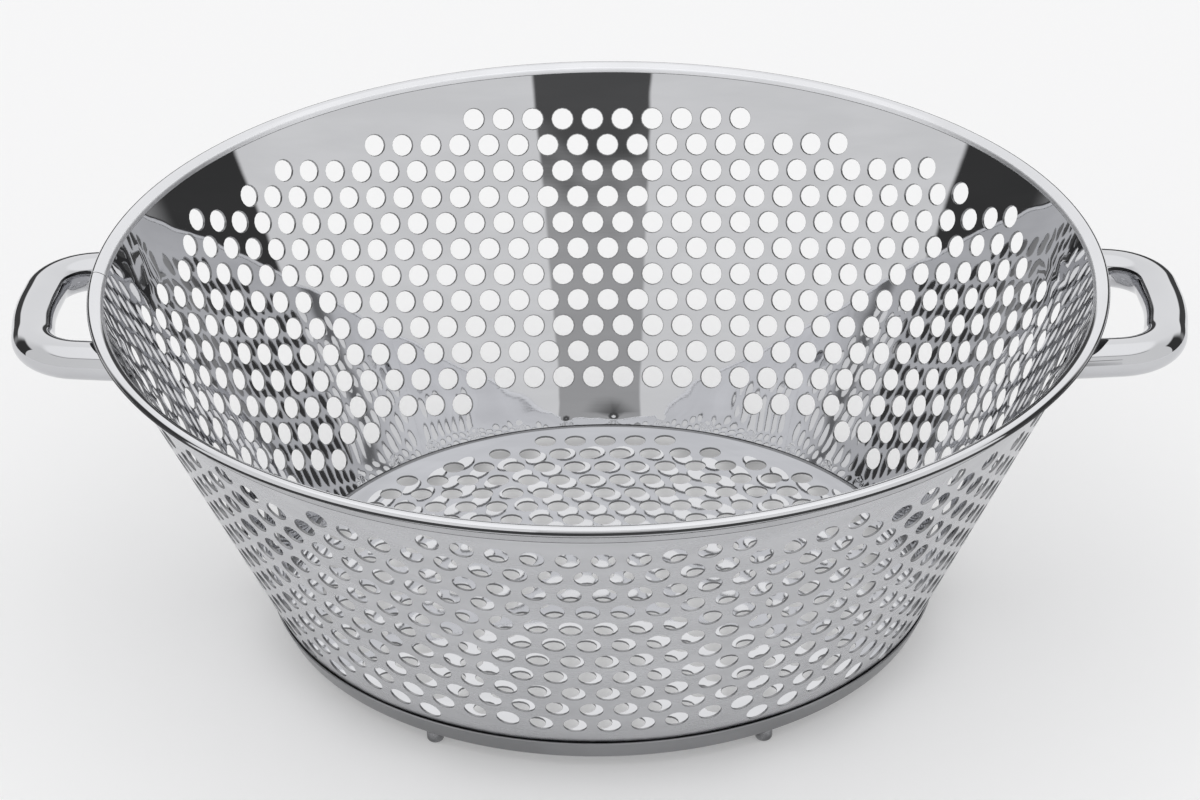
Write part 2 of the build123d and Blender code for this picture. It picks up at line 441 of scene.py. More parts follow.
def sector_outline():
    """The sector's edge, run round to the left: the short arc, the right seam, the long arc and
    the left seam. A point at distance r and angle a is (r sin a, r cos a)."""
    end = SECTOR - SEAM_GAP / SHEET_END
    start = SHEET_START + FOOT_GAP
    top = (SHEET_TOP - TIP) / np.cos(LEAN)
    short = np.linspace(-end, end, SHORT_POINTS)
    long = np.linspace(end, -end, LONG_POINTS)
    seam = np.linspace(start, top, SEAM_POINTS)[1:-1]
    runs = [
        (start * np.sin(short), start * np.cos(short)),
        (seam * np.sin(end), seam * np.cos(end)),
        (top * np.sin(long), top * np.cos(long)),
        (-seam[::-1] * np.sin(end), seam[::-1] * np.cos(end)),
    ]
    return np.concatenate([np.stack(run, -1) for run in runs])


def around(spots, radii, count=12):
    """Each spot and rings of points round it, so that a dent has points to bend."""
    rings = np.concatenate([radius * on_circle(full_turn(count)) for radius in radii])
    return (spots[:, None] + np.concatenate([[[0, 0]], rings])).reshape(-1, 2)


sector = sector_outline()
weld_points = around(weld_spots(), (0.45, 0.9, 1.4, 2.0))
print(len(sector), "points round the half sheet,", len(weld_points), "at the spot welds")

# %% The two halves of the wall
FRONT_SHIFT = 0.7  # of the front sheet's pattern
BURN_WIDTH = 0.62  # of the tint that a spot weld leaves
BEAD_TINT, BEAD_TINT_WIDTH = 0.25, 1.6
INNER_FACE, OUTER_FACE, CUT_FACE = 0, 1, 2  # material numbers of a punched sheet


def half_wall(name, half, shift):
    """One half of the wall, closed along its outline by a band of cut steel."""
    points, looks, flat, faces, (inner, outer) = punched_sheet(
        sector, wall_holes() + (shift, 0.0), weld_points, WALL_RADII, lambda a, u, d: rolled(a, u, d, half)
    )
    faces.append(band(outer, inner))
    heat = bells(*flat.T, weld_spots(), BURN_WIDTH)
    heat = heat + BEAD_TINT * bells(*flat.T, ripple_spots(), BEAD_TINT_WIDTH)
    groups = (INNER_FACE, OUTER_FACE, CUT_FACE, CUT_FACE)
    return make_piece(name, points, faces, looks, flat, groups, heat)


wall_back = half_wall("wall_back_sheet", 1, 0.0)
wall_front = half_wall("wall_front_sheet", -1, FRONT_SHIFT)

# %% [markdown]
# ## The edge of the floor pan
# The pan is a punched disc whose edge is bent up round the foot of the wall, as a low collar. The
# bend could be a bevel on a disc, but its section is better drawn: a profile of arcs, carried round
# a circle. Each row of points is the same profile at another angle.


# %% Profile tools
def arc(middle, radius, start, stop, count):
    """Points on a circle from one angle to another, both in degrees."""
    return np.array(middle) + radius * on_circle(np.radians(np.linspace(start, stop, count)))


def profile_looks(profile):
    """Direction square to the profile at each point, from the chord between its neighbours: the
    chord (x, y) is turned to (y, -x)."""
    chord = np.gradient(profile, axis=0)
    return unit(np.stack([chord[:, 1], -chord[:, 0]], -1))


def carried_round(profile, turns):
    """A profile (r, h) at every angle a, as (r cos a, r sin a, h) by angle and profile point."""
    radius, height = profile[None, :, 0], profile[None, :, 1]
    turns = turns[:, None]
    return np.stack([radius * np.cos(turns), radius * np.sin(turns), height + 0 * turns], -1)


def moved(point, right, up):
    """A profile point moved to the right and up."""
    return point[0] + right, point[1] + up


print("a quarter arc of 3 points:", arc((0, 0), 1, 0, 90, 3).round(2).tolist())

# %% Profile of the pan's edge
DISC = 79.0  # radius of the level middle of the pan
COLLAR_TOP = 8.6
COLLAR_GAP = 0.7  # inner face of the collar, outside the inner face of the wall
BEND = 1.2  # outside radius of the bend
INNER_BEND, INNER_BEND_IN = 0.45, 0.35
FLANK = -25  # direction in degrees in which the collar's flank looks: outward and a little down
BULGE_OUT, BULGE_UP = 0.3, 0.6  # from the middle of the flank to where it bulges most
TOP_ROUND, TOP_DROP = 0.27, 0.2  # rounding of the top edge, and how far below the top it starts
PAST_DISC = 0.6  # from the disc to the first point of the profile


def pan_edge():
    """The profile, from the underside round the bend, up the collar, over its top and down inside.
    A middle point on the outer flank makes it bulge a little."""
    shoulder = COLLAR_TOP - TOP_DROP
    foot = wall_radius(FLOOR_UNDER, COLLAR_GAP + SHEET)
    outside, inside = wall_radius(shoulder, COLLAR_GAP + SHEET), wall_radius(shoulder, COLLAR_GAP)
    corner = wall_radius(FLOOR_TOP, COLLAR_GAP)
    half_bend = np.radians((90 - LEAN_DEGREES) / 2)
    bend_middle = (foot - BEND * np.tan(half_bend), FLOOR_UNDER + BEND)
    flank_middle = ((foot + outside) / 2, (FLOOR_UNDER + shoulder) / 2)
    top_middle = ((outside + inside) / 2, COLLAR_TOP - TOP_ROUND)
    runs = [
        [(DISC + PAST_DISC, FLOOR_UNDER)],
        arc(bend_middle, BEND, -90, -LEAN_DEGREES, 7),
        [moved(flank_middle, BULGE_OUT, BULGE_UP)],
        arc(top_middle, TOP_ROUND, FLANK, FLANK + 180, 7),
        [((corner + inside) / 2, (FLOOR_TOP + shoulder) / 2)],
        arc((corner - INNER_BEND_IN, FLOOR_TOP + INNER_BEND), INNER_BEND, FLANK, -90, 4),
        [(DISC + PAST_DISC, FLOOR_TOP)],
    ]
    return np.concatenate(runs)


pan_profile = pan_edge()
print("the pan reaches out to", pan_profile[:, 0].max().round(2), "mm")

# %% [markdown]
# ## The floor pan
# The level middle is a punched sheet like the wall, with a simpler place function. Its two border
# rows are the first and last columns of the bent edge, so the steel is one closed skin with no
# seam to hide.

# %% Floor pan
DISC_SIDES = 192
EDGE_MAP = 90  # the bent edge lies beyond this radius on the flat map

disc_turns = full_turn(DISC_SIDES)
disc_parts = punched_sheet(
    DISC * on_circle(disc_turns),
    floor_holes(),
    np.empty((0, 2)),
    FLOOR_RADII,
    lambda x, y, depth: np.stack([x, y, FLOOR_TOP - depth + 0 * x], -1),
)
points, looks, flat, faces, (upper, lower) = disc_parts
edge = carried_round(pan_profile, disc_turns)
edge_looks = carried_round(profile_looks(pan_profile), disc_turns)
edge_numbers = len(points) + np.arange(edge[..., 0].size).reshape(edge.shape[:2])
columns = [lower, *edge_numbers.T, upper]
skirt = np.concatenate([band(a, b) for a, b in zip(columns, columns[1:])])
edge_along, edge_up = np.meshgrid(DISC * disc_turns, EDGE_MAP + np.arange(edge.shape[1]), indexing="ij")
floor_pan = make_piece(
    "floor_pan_sheet",
    np.concatenate([points, edge.reshape(-1, 3)]),
    [*faces, skirt],
    np.concatenate([looks, edge_looks.reshape(-1, 3)]),
    np.concatenate([flat, np.stack([edge_along, edge_up], -1).reshape(-1, 2)]),
    groups=(INNER_FACE, OUTER_FACE, CUT_FACE, OUTER_FACE),
)

# %% [markdown]
# ## The section of the rim
# The rim is a ring that grips the edge of the sheet like a channel. Its face starts as a thin lip
# on the inside of the wall, rises outward, turns over in a tight round and ends below in a narrow
# hem that lies against the outside. A plain round wire would miss all that, and these few tenths of
# a millimetre are what the eye follows along a bright edge. So the section is drawn as one closed
# profile of smooth curves, and each of its sides has its own finish.

# %% Sizes of the rim
RIM_TOP, RIM_OUTSIDE = 91.4, 124.62
SHOULDER_IN, SHOULDER_DOWN = 3.3, 0.72  # where the lip becomes the face, from outside and top
ROUND_IN, ROUND_DOWN = 1.25, 1.35  # where the tight round starts and ends
NECK_HEIGHT = 88.65  # where the round outside ends and the hem begins
STEP_HEIGHT = 87.0  # a fine step in the hem
HEM_HEIGHT, HEM_THICK = 84.9, 0.22  # lower edge of the hem
FOLD = 0.15  # how much thicker the hem is above the step
# The hem's dark lines at its fold and lower edge are painted shade: near black bands of steel.
LINE = 0.16  # height of the dark line at an edge of the hem
LIP_PROUD = 0.06  # how far the lip stands out from the inside of the wall
NECK_OUT = 0.3  # from the outside of the wall to the neck
GRIP = SHEET_TOP + 0.03  # height of the channel's bottom, just over the edge of the sheet
CHANNEL = 0.03, SHEET + 0.02  # its two sides, outside the inner face of the wall
# The dark finish is painted shade: near black steel in the channel, under the round, in the hem's lines and
# in the joint's groove.
POLISHED, PAINTED_SHADE, SATIN, LIP_SATIN = range(4)  # finishes of the rim's sides


def curve(first, pull_first, pull_last, last, count):
    """Points of a cubic Bezier curve, (1-t)^3 A + 3(1-t)^2 t B + 3(1-t) t^2 C + t^3 D."""
    t = np.linspace(0, 1, count)[:, None]
    a, b, c, d = (np.array(p, float) for p in (first, pull_first, pull_last, last))
    return a * (1 - t) ** 3 + 3 * b * t * (1 - t) ** 2 + 3 * c * t**2 * (1 - t) + d * t**3


def on_wall(heights, off):
    """Profile points at these heights, this far outside the wall's inner face."""
    return [(wall_radius(height, off), height) for height in heights]


print("the rim covers the sheet from", HEM_HEIGHT, "to", RIM_TOP, "mm above the table")


# %% Profile of the rim
def rim_profile():
    """The section, clockwise from the inside of the bowl, and the finish of each of its sides.
    Four curves make the lip, the face, the tight round and the underside. Short
    runs on the cone make the hem, with a dark line of painted shade under its fold and at its lower edge."""
    (lip,) = on_wall([LIP_HEIGHT], -LIP_PROUD)
    (neck,) = on_wall([NECK_HEIGHT], SHEET + NECK_OUT)
    shoulder = (RIM_OUTSIDE - SHOULDER_IN, RIM_TOP - SHOULDER_DOWN)
    top, outside = (RIM_OUTSIDE - ROUND_IN, RIM_TOP), (RIM_OUTSIDE, RIM_TOP - ROUND_DOWN)
    rise = curve(lip, moved(lip, 0.2, 0.5), moved(shoulder, -0.25, -0.15), shoulder, 10)
    face = curve(shoulder, moved(shoulder, 0.7, 0.36), moved(top, -0.7, 0), top, 10)
    turned = curve(top, moved(top, 0.75, 0), moved(outside, 0, 0.75), outside, 14)
    under = curve(outside, moved(outside, 0, -0.55), moved(neck, 0.8, 0.05), neck, 12)
    fold = np.linspace(NECK_HEIGHT - 0.3, STEP_HEIGHT + LINE, 4)[:-1]
    flap = np.linspace(STEP_HEIGHT - 0.1, HEM_HEIGHT + LINE, 5)[:-1]
    hem_off = SHEET + HEM_THICK
    sides = [
        # The sides with the dark finish are painted shade, not a colour of the steel.
        (PAINTED_SHADE, on_wall([GRIP, LIP_HEIGHT - 0.01], CHANNEL[0])),
        (LIP_SATIN, rise[:-1]),
        (POLISHED, [*face, *turned[1:-4]]),
        (PAINTED_SHADE, [*turned[-4:], *under[1:]]),
        (SATIN, on_wall(fold, hem_off + FOLD)),
        (PAINTED_SHADE, on_wall([STEP_HEIGHT + LINE, STEP_HEIGHT], hem_off + FOLD)),
        (SATIN, on_wall(flap, hem_off)),
        (PAINTED_SHADE, on_wall([HEM_HEIGHT + LINE, HEM_HEIGHT], hem_off)),
        (SATIN, on_wall([HEM_HEIGHT + 0.8, GRIP], CHANNEL[1])),
    ]
    side_finishes = np.concatenate([np.full(len(points), finish) for finish, points in sides])
    return np.concatenate([points for _, points in sides]), side_finishes


section, side_finishes = rim_profile()
print("points of the rim's section, by finish:", np.bincount(side_finishes).tolist())

# %% [markdown]
# ## The rim
# The section is carried round the bowl. At the left, the ends of the ring meet in a fine groove,
# which is no piece of its own: the rows lie closer together there, and the groove is a narrow bell
# curve that pulls the round part of the section towards its own core.

# %% Rim
JOINT = np.radians(179.6)  # where the ends of the ring meet, from +X
GROOVE_DEPTH, GROOVE_WIDTH = 0.12, np.radians(0.07)
NEAR_JOINT, EVEN_ROWS = np.radians(0.6), 359  # the even rows stay this far from the joint
CORE_IN, CORE_DOWN = 1.7, 1.5  # middle of the round part, from the outside and the top

close = np.radians([0.30, 0.18, 0.10, 0.05])
joint_turns = JOINT + np.concatenate([-close, [0], close[::-1]])
even_turns = JOINT + np.linspace(NEAR_JOINT, 2 * np.pi - NEAR_JOINT, EVEN_ROWS)
rim_turns = np.concatenate([joint_turns, even_turns])
off_joint = (rim_turns - JOINT + np.pi) % (2 * np.pi) - np.pi
groove = GROOVE_DEPTH * np.exp(-((off_joint / GROOVE_WIDTH) ** 2))
core = np.array([RIM_OUTSIDE - CORE_IN, RIM_TOP - CORE_DOWN])
is_round = (section[:, 1] > NECK_HEIGHT)[None, :, None]
rows = section[None] + groove[:, None, None] * is_round * unit(core - section)[None]
rim_x = rows[..., 0] * np.cos(rim_turns)[:, None]
rim_y = rows[..., 0] * np.sin(rim_turns)[:, None]
rim_points = np.stack([rim_x, rim_y, rows[..., 1]], -1)
print("rows round the rim:", len(rim_turns))

# %% Faces of the rim by finish
numbers = np.arange(rim_points[..., 0].size).reshape(rim_points.shape[:2])
quads = np.stack([band(a, b)[:, ::-1] for a, b in zip(numbers, np.roll(numbers, -1, 0))])
in_groove = abs(off_joint) < GROOVE_WIDTH
# The faces in the joint's groove get the dark finish too: painted shade in the groove.
quad_finishes = np.where(in_groove[:, None], PAINTED_SHADE, side_finishes[None])
by_finish = [quads[quad_finishes == number] for number in range(4)]
rim = make_piece("rim_wire", rim_points.reshape(-1, 3), by_finish, groups=range(4))
rim.data.set_sharp_from_angle(angle=np.radians(40))

# %% [markdown]
# ## The line of a handle
# Each handle is a thick bar bent to a flat D and welded to the wall. Its middle line is what a
# bending machine makes: straight runs joined by arcs. A freehand curve would be quicker to draw,
# but it would not have the even corners that the real bar has.

# %% Sizes of a handle
BAR_WIDTH, BAR_HEIGHT = 10.7, 9.1
BAR_LEVEL = 80.0  # height of the bar's middle line
REACH = 27.8  # from the wall to the outside of the bar
WALL_SPAN, TIP_SPAN = 49.3, 45.1  # between the middles of the arms at the wall and at the corners
BOW = 2.5  # how far the outer length bows outward
CORNER_BEND, BOW_BEND = 12.8, 60.0  # bend radius of the corners and of the bow
ROW_SPACING = 0.9  # of the section's rows along the bar


def even_bits(start, stop, length):
    """Even shares of the way from start to stop, as a column. The last share is left out."""
    count = max(int(length / ROW_SPACING), 2)
    return start + (stop - start) * np.linspace(0, 1, count, endpoint=False)[:, None]


def bent_line(corners, bends):
    """Points along straight runs joined by arcs. At each corner the line leaves the run at the
    bend radius times the tangent of half the turn, and the arc is the start plus the radius times
    (into sin a + left (1 - cos a))."""
    path, start = [], corners[0]
    for before, here, after, bend in zip(corners, corners[1:], corners[2:], bends):
        into, out = unit(here - before), unit(after - here)
        turn = np.arccos(np.clip(into @ out, -1, 1))
        side = np.sign(into[0] * out[1] - into[1] * out[0])
        left = np.array([-into[1], into[0]]) * side
        first = here - into * bend * np.tan(turn / 2)
        path.append(even_bits(start, first, np.linalg.norm(first - start)))
        count = max(int(turn * bend / ROW_SPACING), 4)
        bits = np.linspace(0, turn, count, endpoint=False)[:, None]
        path.append(first + bend * (into * np.sin(bits) + left * (1 - np.cos(bits))))
        start = here + out * bend * np.tan(turn / 2)
    count = max(int(np.linalg.norm(corners[-1] - start) / ROW_SPACING), 2)
    path.append(start + (corners[-1] - start) * np.linspace(0, 1, count)[:, None])
    return np.concatenate(path)


print("a handle is", BAR_WIDTH, "mm wide,", BAR_HEIGHT, "mm high and reaches out", REACH, "mm")

# %% Middle line of the right handle
END_STEPS = np.array([0.12, 0.3, 0.55])[:, None]  # extra rows close to each end, for the weld


def bar_line():
    """Middle line of the bar and its heading in each row, with close rows at its two ends."""
    tip = wall_radius(ARM_LEVEL, SHEET) + REACH - BAR_WIDTH / 2
    arm = np.sqrt(wall_radius(BAR_LEVEL, SHEET) ** 2 - (WALL_SPAN / 2) ** 2)
    corners = np.array(
        [
            (arm, -WALL_SPAN / 2),
            (tip - BOW, -TIP_SPAN / 2),
            (tip, 0),
            (tip - BOW, TIP_SPAN / 2),
            (arm, WALL_SPAN / 2),
        ]
    )
    line = bent_line(corners, (CORNER_BEND, BOW_BEND, CORNER_BEND))
    heading = unit(np.gradient(line, axis=0))
    first = line[0] + END_STEPS * heading[0]
    last = line[-1] - END_STEPS[::-1] * heading[-1]
    line = np.concatenate([line[:1], first, line[1:-1], last, line[-1:]])
    repeat = len(END_STEPS) + 1
    heading = np.concatenate([heading[:1].repeat(repeat, 0), heading[1:-1], heading[-1:].repeat(repeat, 0)])
    return line, heading


print("rows along a handle:", len(bar_line()[0]))

# %% [markdown]
# ## The bar and its welds
# The section of the bar is a superellipse, a rounded rectangle whose curve never stops, so the
# reflections run round it without a break. A bevelled box would show where its flats end. At the
# wall, every point slides along the arm until it lies on the cone, and the last bit swells into a
# fillet, as a ground weld does.

# %% Section and welds of a handle
SECTION_POINTS = 56
SECTION_POWER = 2 / 2.04  # 1 would be an ellipse, and less is squarer
FILLET = 0.4
SLIDE_REACH = 7.0  # the slide fades out over this length of the arm
BAR_GAP = 0.01  # from the end of the bar to the wall


def bar_section():
    """Section (w, h) of the bar: half its size times the sign and a power of cosine and sine."""
    circle = on_circle(full_turn(SECTION_POINTS))
    return np.sign(circle) * abs(circle) ** SECTION_POWER * (BAR_WIDTH / 2, BAR_HEIGHT / 2)


def off_wall(points):
    """How far points lie outside the wall's inner face: radius less the wall's, times cos lean."""
    return (np.hypot(points[..., 0], points[..., 1]) - wall_radius(points[..., 2])) * np.cos(LEAN)


def cut_to_wall(rows, heading, run):
    """The rows with both arms slid along their heading until their ends lie on the wall. Each
    round of the loop slides a point by its gap over the cosine of the lean. The slide fades along
    the arm by b^2 (3 - 2b)."""
    blend = np.clip(1 - np.minimum(run, run[-1] - run) / SLIDE_REACH, 0, 1)
    blend = (blend * blend * (3 - 2 * blend))[:, None, None]
    first_half = run < run[-1] / 2
    for end, way, half in ((0, heading[0], first_half), (-1, -heading[-1], ~first_half)):
        way = np.append(way, 0)
        slide = np.zeros(SECTION_POINTS)
        for _ in range(12):
            gap = off_wall(rows[end] + slide[:, None] * way) - SHEET - BAR_GAP
            slide -= gap / np.cos(LEAN)
        rows = rows + half[:, None, None] * blend * slide[None, :, None] * way
    return rows


def bar(side):
    """Points of one handle as an array of row by section point. side is 1 for the right one."""
    line, heading = bar_line()
    run = np.concatenate([[0], np.cumsum(np.linalg.norm(np.diff(line, axis=0), axis=1))])
    from_end = np.clip(1 - np.minimum(run, run[-1] - run) / FILLET, 0, 1)
    swell = FILLET * (1 - np.sqrt(1 - from_end**2))[:, None]
    wide, high = bar_section().T
    left = np.stack([-heading[:, 1], heading[:, 0]], -1)
    wide = wide * (1 + swell / (BAR_WIDTH / 2))
    high = high * (1 + swell / (BAR_HEIGHT / 2))
    level = line[:, None] + left[:, None] * wide[..., None]
    rows = np.concatenate([level, (BAR_LEVEL + high)[..., None]], -1)
    return cut_to_wall(rows, heading, run) * (side, side, 1)


print("the right handle reaches out to x =", bar(1)[..., 0].max().round(2), "mm")


# %% The two handles
def capped(name, rows):
    """A closed bar: bands between its rows and a fan of triangles over each end."""
    numbers = np.arange(rows[..., 0].size).reshape(rows.shape[:2])
    sides = np.concatenate([band(a, b) for a, b in zip(numbers, numbers[1:])])
    middles = np.stack([rows[0].mean(0), rows[-1].mean(0)])
    fans = []
    for number, row, order in ((numbers.size, numbers[0], -1), (numbers.size + 1, numbers[-1], 1)):
        a, b = loop_edges(row)
        fans.append(np.stack([a, b, np.full(len(row), number)], -1)[:, ::order])
    points = np.concatenate([rows.reshape(-1, 3), middles])
    return make_piece(name, points, [sides, np.concatenate(fans)])


handle_right = capped("handle_right_bar", bar(1))
handle_left = capped("handle_left_bar", bar(-1))

# %% [markdown]
# ## The feet
# A foot is a turned stud with a domed end, welded under the pan. A sphere pushed into a cylinder
# would do from afar. A lathe shows the better way: one profile, with a fine bevel at its top edge
# and a small flat to stand on, carried round the stud's own axis. The six feet turn with the pan.

# %% Feet
FOOT_RADIUS, FOOT_HEIGHT = 2.1, 3.3
FOOT_ROUND = 1.3  # of the domed end
FOOT_FACE = 0.5  # breadth of the ring on its top, round the cap
FOOT_BEVEL, FOOT_BEVEL_DOWN = 0.06, 0.08
FOOT_COUNT, FOOT_SIDES = 6, 28
FOOT_STEP = 60  # degrees from one foot to the next
FOOT_CIRCLE, PAN_TURN = 79.0, 0.4  # mm and degrees


def stud(place):
    """Rows of the stud from the small flat it stands on up over the dome to its top edge."""
    profile = np.concatenate(
        [
            [(FOOT_RADIUS - FOOT_FACE, FOOT_HEIGHT)],
            [(FOOT_RADIUS - FOOT_BEVEL, FOOT_HEIGHT), (FOOT_RADIUS, FOOT_HEIGHT - FOOT_BEVEL_DOWN)],
            arc((FOOT_RADIUS - FOOT_ROUND, FOOT_ROUND), FOOT_ROUND, 0, -90, 9),
        ]
    )
    rows = carried_round(profile, full_turn(FOOT_SIDES)).transpose(1, 0, 2) + place
    return rows[:, ::-1]


feet = {}
for number in range(FOOT_COUNT):
    direction = np.radians(number * FOOT_STEP - FOOT_STEP + PAN_TURN)
    place = np.array([FOOT_CIRCLE * np.cos(direction), FOOT_CIRCLE * np.sin(direction), 0])
    feet[f"foot_{number + 1}"] = capped(f"foot_{number + 1}_stud", stud(place))

# %% [markdown]
# ## Writing a finish
# A finish is a net of shader nodes. It could be wired by hand in the editor, but long chains of
# maths are easier to read as a sum. One small class wraps a socket and turns plus, minus and times
# into Math nodes, and another makes every other kind of node.


# %% A socket that can be used in sums
class Value:
    """An output socket that can be used in sums. Plain numbers can stand on either side."""

    def __init__(self, tree, socket):
        self.tree, self.socket = tree, socket

    def math(self, operation, *others):
        """A Math node of this value and the others, in this order."""
        sides = dict(enumerate((self, *others)))
        return Finish.add(self.tree, "ShaderNodeMath", {"operation": operation}, sides)

    def __add__(self, other):
        return self.math("ADD", other)

    def __sub__(self, other):
        return self.math("SUBTRACT", other)

    def __mul__(self, other):
        return self.math("MULTIPLY", other)

    def __rsub__(self, other):
        return (self * -1) + other

    __radd__, __rmul__ = __add__, __mul__

    def between(self, low, high):
        """0 below low, 1 above high, and a smooth step between them."""
        inputs = {"Value": self, "From Min": low, "From Max": high}
        return Finish.add(self.tree, "ShaderNodeMapRange", {"interpolation_type": "SMOOTHSTEP"}, inputs)


print("signs that a socket understands: + - *")


# %% A material or a world under construction
class Finish:
    """The nodes of a material or of the world."""

    def __init__(self, owner):
        owner.use_nodes = True
        self.owner, self.tree = owner, owner.node_tree
        self.tree.nodes.clear()

    @staticmethod
    def add(tree, kind, settings, inputs, output=0):
        """A node of this kind. Its settings come first, then the values or links of its sockets."""
        node = tree.nodes.new(kind)
        for name, value in settings.items():
            setattr(node, name, value)
        for name, value in inputs.items():
            if isinstance(value, Value):
                tree.links.new(value.socket, node.inputs[name])
            else:
                node.inputs[name].default_value = value
        return Value(tree, node.outputs[output]) if node.outputs else node

    def node(self, kind, settings=None, inputs=None, output=0):
        """The same in this net."""
        return self.add(self.tree, kind, settings or {}, inputs or {}, output)

    def noise(self, place, scale, size, detail):
        """Noise whose grains are pulled long by an uneven scale. size is the number of grains to
        a unit, and detail is how many finer layers lie on them."""
        pulled = self.node("ShaderNodeVectorMath", {"operation": "MULTIPLY"}, {0: place, 1: scale})
        return self.node("ShaderNodeTexNoise", {}, {"Vector": pulled, "Scale": size, "Detail": detail})

    def mixed(self, share, first, second):
        """A colour between two, by a share from 0 to 1. Each is a colour or the socket of one.
        6 and 7 are the Mix node's colour sockets, and 2 is its colour output."""
        first, second = (c if isinstance(c, Value) else (*c, 1) for c in (first, second))
        inputs = {0: share, 6: first, 7: second}
        return self.node("ShaderNodeMix", {"data_type": "RGBA"}, inputs, 2)

    def metal(self, colour, roughness, height):
        """Ends the net as bare metal, with a relief whose height is in metres."""
        bump = self.node("ShaderNodeBump", {}, {"Height": height, "Distance": 1.0, "Strength": 1.0})
        roughness = roughness.math("MAXIMUM", 0.02)
        inputs = {"Base Color": colour, "Metallic": 1.0, "Roughness": roughness, "Normal": bump}
        surface = self.node("ShaderNodeBsdfPrincipled", {}, inputs)
        self.node("ShaderNodeOutputMaterial", {}, {"Surface": surface})
        print("finish:", self.owner.name)
        return self.owner


# %% [markdown]
# ## Steel of the sheets
# Bright steel has no colour of its own. What tells one finish from another is how sharp its mirror
# is, and in which direction it is smeared. A sheet has fine lines from grinding, a slow unevenness
# of the polish and a faint waviness. It was ground before it was rolled, so all of them are drawn
# on the map of the flat sheet, and they run round the bowl with the steel. A spot weld leaves a
# dark burnt dot.

# %% Steel of a sheet
PLAIN = (1.0, 1.0, 1.0)  # scale of a noise that isn't pulled long
GRINDING = (2.0, 90.0, 1.0)  # long lines along the sheet
SMEARED = (1.5, 7.0, 1.0)  # short strokes of the polishing wheel
BURN_TINT, BURN_SHARE, BURN_BLUR = (0.10, 0.095, 0.09), 0.85, 0.3


def cool(level):
    """A grey of this brightness with the faint blue of polished steel."""
    return 0.993 * level, level, 1.03 * level


def sheet_steel(name, tone, blur, relief):
    """A finish on the flat map. tone is its brightest and its dullest grey, blur is how soft its
    mirror is and how much that varies, and relief is the depth in mm of the grinding lines and of
    the slow waves. A noise is 0.5 on average, so noise less 0.5 goes evenly up and down."""
    finish = Finish(bpy.data.materials.new(name))
    flat = finish.node("ShaderNodeUVMap", {"uv_map": "flat_sheet"})
    grind = finish.noise(flat, GRINDING, 1.6, 4.0)
    cloud = finish.noise(flat, PLAIN, 2.3, 3.0)
    smear = finish.noise(flat, SMEARED, 2.0, 3.0)
    wave = finish.noise(flat, PLAIN, 6.0, 1.0)
    heat = finish.node("ShaderNodeAttribute", {"attribute_name": "heat"}, {}, "Fac")
    heat = heat.math("MINIMUM", 1.0)
    roughness = (grind - 0.5) * blur[1] + (cloud - 0.5) * (blur[1] * 1.2) + blur[0]
    height = (grind - 0.5) * (relief[0] * MM) + (wave - 0.5) * (relief[1] * MM)
    bright = smear.between(0.35, 0.7) * (1 - heat)
    colour = finish.mixed(bright, cool(tone[1]), cool(tone[0]))
    colour = finish.mixed(heat * BURN_SHARE, colour, BURN_TINT)
    return finish.metal(colour, roughness + heat * BURN_BLUR, height)


polished_inside = sheet_steel("polished_inside", (0.655, 0.615), (0.012, 0.012), (0.0004, 0.05))
satin_outside = sheet_steel("satin_outside", (0.60, 0.55), (0.28, 0.08), (0.004, 0.01))
polished_floor = sheet_steel("polished_floor", (0.68, 0.64), (0.03, 0.02), (0.0008, 0.02))
satin_underside = sheet_steel("satin_underside", (0.34, 0.28), (0.32, 0.10), (0.005, 0.006))
# The bores and cut edges get a darker, rougher steel: partly the dull torn steel of a punched bore, partly
# a painted shade inside the bore.
torn_and_shaded_edge = sheet_steel("torn_and_shaded_edge", (0.36, 0.22), (0.30, 0.10), (0.002, 0.0))

# %% [markdown]
# ## Steel of the bars, the rim and the studs
# These pieces have no flat form, so their pattern lies in the piece's own space: the object stands
# at the origin, and a point of the steel keeps its point of the pattern. The bars are buffed to a
# mirror and the face of the rim nearly so. Its lip and its hem are satin. The narrow folds beside
# them get a near black steel, a painted shade for the little light that gets in there. The studs
# are turned and left dull.


# %% Steel of a turned or bent piece
def bar_steel(name, tone, blur, relief, size=40.0):
    """The same kind of finish by place in space. size is the number of clouds to a metre, and the
    grain is twelve times finer. The relief's two depths are those of the grain and the clouds."""
    finish = Finish(bpy.data.materials.new(name))
    place = finish.node("ShaderNodeTexCoord", {}, {}, "Object")
    grain = finish.noise(place, PLAIN, size * 12, 4.0)
    cloud = finish.noise(place, PLAIN, size, 2.0)
    roughness = (grain - 0.5) * blur[1] + (cloud - 0.5) * (blur[1] * 1.5) + blur[0]
    height = (grain - 0.5) * (relief[0] * MM) + (cloud - 0.5) * (relief[1] * MM)
    colour = finish.mixed(cloud.between(0.3, 0.7), cool(tone[1]), cool(tone[0]))
    return finish.metal(colour, roughness, height)


buffed_bar = bar_steel("buffed_bar", (0.61, 0.58), (0.03, 0.015), (0.0, 0.02))
polished_rim = bar_steel("polished_rim", (0.71, 0.67), (0.06, 0.03), (0.0, 0.01))
satin_lip = bar_steel("satin_lip", (0.82, 0.76), (0.38, 0.06), (0.002, 0.01))
# Near black steel for the rim's folds, lines and groove: a painted shade.
rim_painted_shade = bar_steel("rim_painted_shade", (0.06, 0.035), (0.4, 0.10), (0.004, 0.01))
satin_hem = bar_steel("satin_hem", (0.52, 0.47), (0.25, 0.06), (0.002, 0.01))
turned_stud = bar_steel("turned_stud", (0.30, 0.14), (0.25, 0.15), (0.01, 0.03), 300.0)
